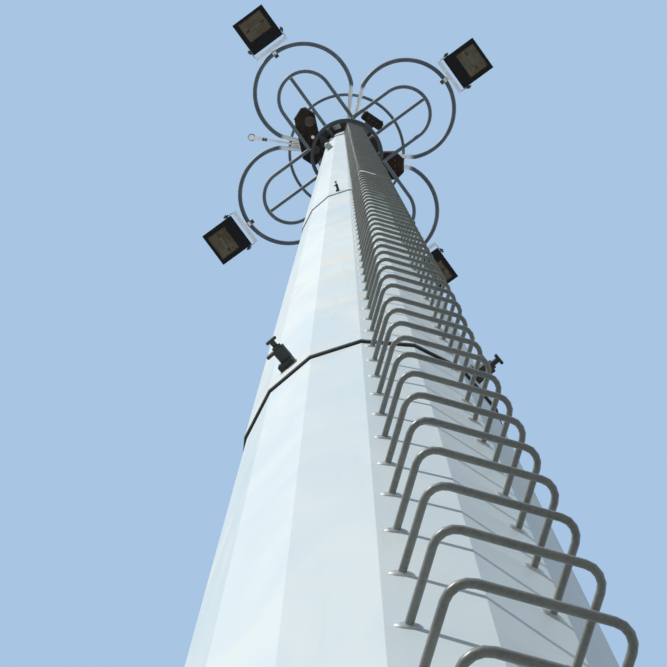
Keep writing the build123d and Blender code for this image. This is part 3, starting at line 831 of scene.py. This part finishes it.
def cable_trays():
    """Two curved troughs under the ring plate, over the equipment boxes, on hangers from its rim."""
    trays, hangers = [], []
    middle = (TRAY_RADIUS, 0, TRAY_Z)
    for start, sweep in TRAYS:
        clear_selection()
        bpy.ops.mesh.primitive_plane_add(size=1, location=middle, rotation=(pi / 2, 0, 0))
        tray = settle(begin("cable_trays"))
        bpy.ops.object.mode_set(mode="EDIT")
        bpy.ops.mesh.select_all(action="SELECT")
        bpy.ops.transform.resize(value=(TRAY_WIDTH, 1, TRAY_HEIGHT), center_override=middle)
        bpy.ops.mesh.spin(steps=16, angle=radians(sweep), center=(0, 0, 0), axis=(0, 0, -1))
        bpy.ops.object.mode_set(mode="OBJECT")
        outward_faces(tray)
        choose_faces(tray, lambda centre, normal: normal.z > 0.9)
        bpy.ops.mesh.inset(thickness=TRAY_WALL)
        bpy.ops.mesh.extrude_region_move(TRANSFORM_OT_translate={"value": (0, 0, -TRAY_DEPTH)})
        bpy.ops.object.mode_set(mode="OBJECT")
        outward_faces(tray)
        trays.append(copies(tray, [facing(start)]))
        hangers += [facing(start + sweep / 2 + step, HANGER_RADIUS) for step in (-sweep / 3, 0, sweep / 3)]
    strap = block("hanger", (0.006, 0.050, 0.130), (0.0, 0, HANGER_Z), 0.002)
    return join_pieces("cable_trays", trays + [copies(strap, hangers)])


def hoop_saddles():
    """Cradle plates between the hoop and the legs that it lies on, one each side of the leg."""
    cradle = join_pieces("hoop_saddles", [
        block("cradle", (0.086, 0.010, 0.062), (0, side * 0.030, HEAD_Z + 0.049), 0.003) for side in (-1, 1)
    ])
    places = [facing(FIRST_PETAL_AZIMUTH + 90 * k + lean, HOOP_RADIUS) for k in range(PETAL_COUNT)
              for lean in (-LEG_ANGLE, LEG_ANGLE)]
    return copies(cradle, places)


def arm_coupling():
    """A sleeve coupling on the obstruction light's arm, with its two clamping nuts."""
    sleeve = draw_up("arm_coupling", 18, ((0.022, -0.050), (0.030, -0.046), (0.030, 0.046), (0.022, 0.050)))
    nuts = [draw_up("nut", 6, ((0.035, z), (0.038, z + 0.003), (0.038, z + 0.021), (0.035, z + 0.024)))
            for z in (-0.040, 0.016)]
    place = facing(ARM_AZIMUTH, COUPLING_X, ARM_Z) @ UP_TO_OUT
    return copies(join_pieces("arm_coupling", [sleeve] + nuts), [place])


def lamp_base():
    """The obstruction light's ring with three clamping screws."""
    ring = draw_up("lamp_base", 28, ((0.058, -0.006), (0.072, -0.004), (0.072, 0.010), (0.066, 0.013),
                                     (0.058, 0.013)), hollow=True)
    screw = hex_bolt(0.014, 0.006, 0.009, 0.002)
    screws = copies(screw, [Matrix.Rotation(radians(120 * k), 4, "Z") @ Matrix.Translation((0.071, 0, 0.003))
                            @ UP_TO_OUT for k in range(3)])
    return copies(join_pieces("lamp_base", [ring, screws]), [facing(ARM_AZIMUTH, LAMP_X, LAMP_SEAT)])


finish_piece(collar_bolts(), WHITE)
finish_piece(collar_nuts(), ZINC)
finish_piece(tube_welds(), WELD, smooth=60)
finish_piece(cable_trays(), COLLAR)
finish_piece(hoop_saddles(), HEAD)
finish_piece(arm_coupling(), HEAD)
finish_piece(lamp_base(), HEAD)


# Floodlights, made along +X and then turned to their petals

def clamp_ears():
    """The split ears of the tube clamp with two bolts, and the nuts on the pivot pins."""
    parts = [block("ear", (0.062, 0.080, 0.008), (PETAL_TIP - 0.069, 0, HEAD_Z + side * 0.009), 0.002)
             for side in (-1, 1)]
    head = hex_bolt(0.024, 0.009, 0.014, 0.003, 0.008, 0.006)
    parts.append(copies(head, [
        Matrix.Translation((PETAL_TIP - 0.078, y, HEAD_Z + side * 0.013)) @ turn
        for y in (-0.022, 0.022) for side, turn in ((-1, UPSIDE_DOWN), (1, Matrix()))
    ]))
    nut = hex_bolt(0.042, 0.014, 0.024, 0.004, 0.004, 0.010)
    lock = hex_bolt(0.022, 0.009, 0.014, 0.002)
    lock.data.transform(Matrix.Translation((0.036, 0, 0)))
    nut = join_pieces("pin_nut", [nut, lock])
    parts.append(copies(nut, [
        Matrix.Translation((PIVOT_X, side * LOCK_FACE, HEAD_Z)) @ Matrix.Rotation(-side * pi / 2, 4, "X")
        for side in (-1, 1)
    ]))
    return join_pieces("bracket_bolts", parts)


def window_gasket():
    """A rubber lip round the window, on the face plate's underside."""
    lip = flat_sheet("window_gasket", WINDOW_LENGTH + 0.024, WINDOW_WIDTH + 0.024,
                     (WINDOW_X, 0, LIGHT_BOTTOM + 0.0005))
    bpy.ops.mesh.inset(thickness=0.017)
    bpy.ops.mesh.delete(type="FACE")
    bpy.ops.mesh.select_all(action="SELECT")
    bpy.ops.mesh.extrude_region_move(TRANSFORM_OT_translate={"value": (0, 0, -0.0045)})
    bpy.ops.object.mode_set(mode="OBJECT")
    outward_faces(lip)
    bevel = lip.modifiers.new("soft_edge", "BEVEL")
    bevel.width = 0.0016
    bevel.segments = 2
    pick(lip)
    bpy.ops.object.modifier_apply(modifier="soft_edge")
    return lip


def face_screws():
    """Screws round the rim of the face plate and at the corners of the gear cover."""
    screw = draw_up("face_screws", 10, ((0.009, 0), (0.009, 0.001), (0.0065, 0.0012), (0.0065, 0.004),
                                        (0.004, 0.0055)))
    rim = LIGHT_SIZE / 2 - 0.014
    places = [(LIGHT_CENTRE + a, b) for a in (-rim, rim) for b in (-rim, -rim / 3, rim / 3, rim)]
    places += [(LIGHT_CENTRE + a, b) for a in (-rim / 3, rim / 3) for b in (-rim, rim)]
    spots = [Matrix.Translation((x, y, LIGHT_BOTTOM)) @ UPSIDE_DOWN for x, y in places]
    spots += [Matrix.Translation((GEAR_COVER_X + a, b, LIGHT_BOTTOM - 0.0042)) @ UPSIDE_DOWN
              for a in (-0.066, 0.066) for b in (-0.215, 0.215)]
    return copies(screw, spots)


def gear_cover():
    """The cover over the control gear, between the window and the pole: a plate with a pressed field."""
    cover = block("gear_cover", (0.160, 0.460, 0.005), (GEAR_COVER_X, 0, LIGHT_BOTTOM - 0.0020), 0.0015)
    choose_faces(cover, lambda middle, normal: normal.z < -0.9 and abs(middle.x - GEAR_COVER_X) < 0.05)
    bpy.ops.mesh.inset(thickness=0.024)
    bpy.ops.mesh.inset(thickness=0.004, depth=-0.0015)
    bpy.ops.object.mode_set(mode="OBJECT")
    return cover


def discharge_lamp():
    """The tubular lamp in the trough, along the window, between its two ceramic sockets."""
    tube = draw_up("discharge_lamp", 18, ((0.008, -0.125), (0.017, -0.122), (0.022, -0.108), (0.023, -0.080),
                                          (0.023, 0.080), (0.022, 0.108), (0.017, 0.122), (0.008, 0.125)))
    lay = Matrix.Translation((WINDOW_X, 0, TUBE_LAMP_Z)) @ Matrix.Rotation(pi / 2, 4, "X")
    return copies(tube, [lay])


def lamp_sockets():
    """The ceramic sockets at the lamp's two ends."""
    socket = draw_up("lamp_sockets", 12, ((0.013, 0.118), (0.020, 0.122), (0.020, 0.160), (0.015, 0.166),
                                          (0.015, 0.205)))
    middle = Matrix.Translation((WINDOW_X, 0, TUBE_LAMP_Z))
    return copies(socket, [middle @ Matrix.Rotation(-side * pi / 2, 4, "X") for side in (-1, 1)])


def cable_gland():
    """A closed gland low on the housing's inner side."""
    gland = draw_up("housing_gland", 6, ((0.015, 0), (0.015, 0.010), (0.012, 0.012)))
    dome = draw_up("dome", 14, ((0.011, 0.012), (0.011, 0.020), (0.008, 0.025), (0.004, 0.026)))
    place = Matrix.Translation(GLAND_PLACE) @ Matrix.Rotation(-pi / 2, 4, "Y")
    return copies(join_pieces("housing_gland", [gland, dome]), [place])


for k in range(PETAL_COUNT):
    turn = facing(FIRST_PETAL_AZIMUTH + 90 * k)
    body = f"floodlight_{k + 1}"
    for make, material, slot, rides in (
        (clamp_ears, BOLT, "galvanised_steel", "tower"),
        (window_gasket, SEAL, "housing_paint", body),
        (face_screws, BOLT, "housing_paint", body),
        (gear_cover, HOUSING, "housing_paint", body),
        (discharge_lamp, BULB, "light_glass", body),
        (lamp_sockets, CERAMIC, "housing_paint", body),
        (cable_gland, BOLT, "housing_paint", body),
    ):
        piece = copies(make(), [turn])
        piece.name = f"{piece.name}_{k + 1}"
        finish_piece(piece, material, rides)


# Equipment boxes, each made about its own middle: +X is the side that it faces

def box_place(box):
    """Where a box stands and which way it faces."""
    turn = Matrix.Rotation(radians(box.faced - box.azimuth), 4, "Z")
    return facing(box.azimuth, box.distance, EQUIPMENT_Z) @ turn


def set_on_box(name, piece, material):
    """Moves a piece to a box, adds the box's name to its own and finishes it."""
    piece = copies(piece, [box_place(BOXES[name])])
    piece.name = f"{piece.name}_{name}"
    finish_piece(piece, material)


def box_door(box):
    """A door with a raised rim and a sunk field on the face, its two hinges and its turn lock."""
    wide, high = box.width - 2 * box.corner - 0.02, box.height - 0.08
    door = block("door", (0.012, wide, high), (box.depth / 2 + 0.003, 0, 0), 0.003)
    choose_faces(door, lambda middle, normal: normal.x > 0.9 and max(abs(middle.y), abs(middle.z)) < 0.02)
    bpy.ops.mesh.inset(thickness=0.026)
    bpy.ops.mesh.inset(thickness=0.006, depth=-0.004)
    bpy.ops.object.mode_set(mode="OBJECT")
    hinge = draw_up("hinge", 10, ((0.006, -0.034), (0.008, -0.032), (0.008, 0.032), (0.006, 0.034)))
    front = box.depth / 2 + 0.010
    hinges = copies(hinge, [Matrix.Translation((front, -wide / 2, z)) for z in (-high / 3, high / 3)])
    lock = draw_up("lock", 16, ((0.017, -0.002), (0.017, 0.003), (0.013, 0.006), (0.009, 0.006),
                                (0.008, 0.012)))
    edge = wide / 2 - 0.013
    locks = copies(lock, [Matrix.Translation((front, edge, z)) @ UP_TO_OUT for z in (-0.09, 0.09)])
    return join_pieces("box_door", [door, hinges, locks])


def box_glands(box, count, pitch, x):
    """A row of cable glands under a box."""
    gland = join_pieces("box_glands", [
        draw_up("hex", 6, ((0.022, -0.002), (0.022, 0.014), (0.019, 0.016))),
        draw_up("dome", 14, ((0.017, 0.016), (0.017, 0.032), (0.012, 0.040), (0.005, 0.041))),
    ])
    row = [(i - (count - 1) / 2) * pitch for i in range(count)]
    return copies(gland, [Matrix.Translation((x, y, -box.height / 2)) @ UPSIDE_DOWN for y in row])


def box_drum(box, radius, thick, x, y):
    """A flat round cover under a box, with a raised middle."""
    drum = draw_up("drum", 28, ((radius, -0.002), (radius, thick * 0.8), (radius * 0.93, thick),
                                (radius * 0.62, thick), (radius * 0.56, thick * 1.35),
                                (radius * 0.2, thick * 1.4)))
    return copies(drum, [Matrix.Translation((x, y, -box.height / 2)) @ UPSIDE_DOWN])


def box_lid(box):
    """A rain lid on a box, with its edges turned down."""
    lid = flat_sheet("box_lid", box.depth - 0.036, box.width - 0.036, (0, 0, box.height / 2 - 0.001))
    bpy.ops.mesh.bevel(offset=box.corner, segments=1, affect="VERTICES")
    bpy.ops.mesh.select_all(action="SELECT")
    bpy.ops.mesh.extrude_region_move(TRANSFORM_OT_translate={"value": (0, 0, 0.008)})
    bpy.ops.mesh.inset(thickness=0.004, depth=0.003)
    bpy.ops.mesh.inset(thickness=0.040, depth=0.009)
    bpy.ops.object.mode_set(mode="OBJECT")
    return outward_faces(lid)


for name, box in BOXES.items():
    paint = RUSTY if name == "right" else CABINET
    set_on_box(name, box_door(box), paint)
    set_on_box(name, box_lid(box), paint)
    set_on_box(name, box_glands(box, *GLANDS[name]), BOLT)
for name, drums in DRUMS.items():
    made = [box_drum(BOXES[name], *drum) for drum in drums]
    set_on_box(name, join_pieces("box_covers", made), COVER)
earth = hex_bolt(0.050, 0.022, 0.034, 0.006)
earth.name = "earth_bolt"
below_left = Matrix.Translation((-0.074, -0.028, -BOXES["left"].height / 2)) @ UPSIDE_DOWN
finish_piece(copies(earth, [box_place(BOXES["left"]) @ below_left]), BRIGHT)


# Finishes of the solids that stay

def dress(node, material):
    """Gives a solid's node its material, in every place that it has for one."""
    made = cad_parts[node].data.materials
    if len(made):
        for index in range(len(made)):
            made[index] = material
    else:
        made.append(material)


for node in ("base_flange", "pole_lower", "pole_middle", "pole_upper", "pole_cap"):
    dress(node, POLE)
for node in ("rungs_lower", "rungs_middle", "rungs_upper"):
    dress(node, RUNG)
for node in ("lower_joint_bolts", "upper_joint_bolts"):
    dress(node, LUG)
dress("head_collar", COLLAR)
for node in ("hoop", "spokes", "equipment_brackets"):
    dress(node, HEAD)
dress("hub_ring", HUB)
dress("lamp_arm", BRIGHT)
for node in ("equipment_box_left", "equipment_box_rear"):
    dress(node, CABINET)
dress("equipment_box_right", RUSTY)
dress("obstruction_lamp", LENS)
for k in range(1, PETAL_COUNT + 1):
    dress(f"outer_petal_{k}", PETAL)
    dress(f"inner_petal_{k}", HEAD)
    dress(f"light_bracket_{k}", BRACKET)
    dress(f"light_housing_{k}", HOUSING)
    dress(f"light_reflector_{k}", GOLD)
    dress(f"light_glass_{k}", GLASS)


# Camera, light and surroundings

def camera_view():
    """Close to the pole's foot and looking steeply up it, as the photograph does."""
    lens = bpy.data.cameras.new("camera")
    lens.sensor_width = 36.0
    lens.lens = CAMERA_LENS
    lens.clip_end = 900.0
    camera = bpy.data.objects.new("camera", lens)
    camera.location = CAMERA_PLACE
    camera.rotation_euler = [radians(turn) for turn in CAMERA_TURN]
    bpy.context.scene.collection.objects.link(camera)
    bpy.context.scene.camera = camera


def soft_sun(name, azimuth, elevation, strength, spread, colour):
    """A lamp from one side of the sky. Its spread, in degrees, is how soft its shadows are."""
    lamp = bpy.data.lights.new(name, "SUN")
    lamp.energy = strength
    lamp.angle = radians(spread)
    lamp.color = colour
    sun = bpy.data.objects.new(name, lamp)
    a, e = radians(azimuth), radians(elevation)
    towards = Vector((sin(a) * cos(e), -cos(a) * cos(e), sin(e)))
    sun.rotation_euler = towards.to_track_quat("Z", "Y").to_euler()
    bpy.context.scene.collection.objects.link(sun)


def pale_surroundings():
    """A pale backdrop that the camera, metal and glass see, and an even light for the rest."""
    f = Finish("surroundings", bpy.data.worlds)
    light = f.node("Background", None, {"Color": (0.86, 0.93, 1.0, 1), "Strength": 0.42})
    backdrop = f.node("Background", None, {"Color": (0.392, 0.558, 0.776, 1), "Strength": 1.0})
    shader = f.node("MixShader", None, {0: f.seen_directly(), 1: light, 2: backdrop})
    f.node("OutputWorld", None, {"Surface": shader})
    bpy.context.scene.world = f.look


def ground():
    """The pale floor just under the flange."""
    clear_selection()
    bpy.ops.mesh.primitive_plane_add(size=600, location=(0, 0, -0.001))
    floor = settle(begin("ground"))
    floor.data.materials.append(GROUND)


bpy.context.scene.view_settings.view_transform = "Standard"
camera_view()
soft_sun("low_sun", azimuth=-61, elevation=31, strength=3.05, spread=1.2, colour=(1.0, 0.975, 0.93))
soft_sun("fill", azimuth=70, elevation=12, strength=0.40, spread=60, colour=(0.86, 0.93, 1.0))
pale_surroundings()
ground()
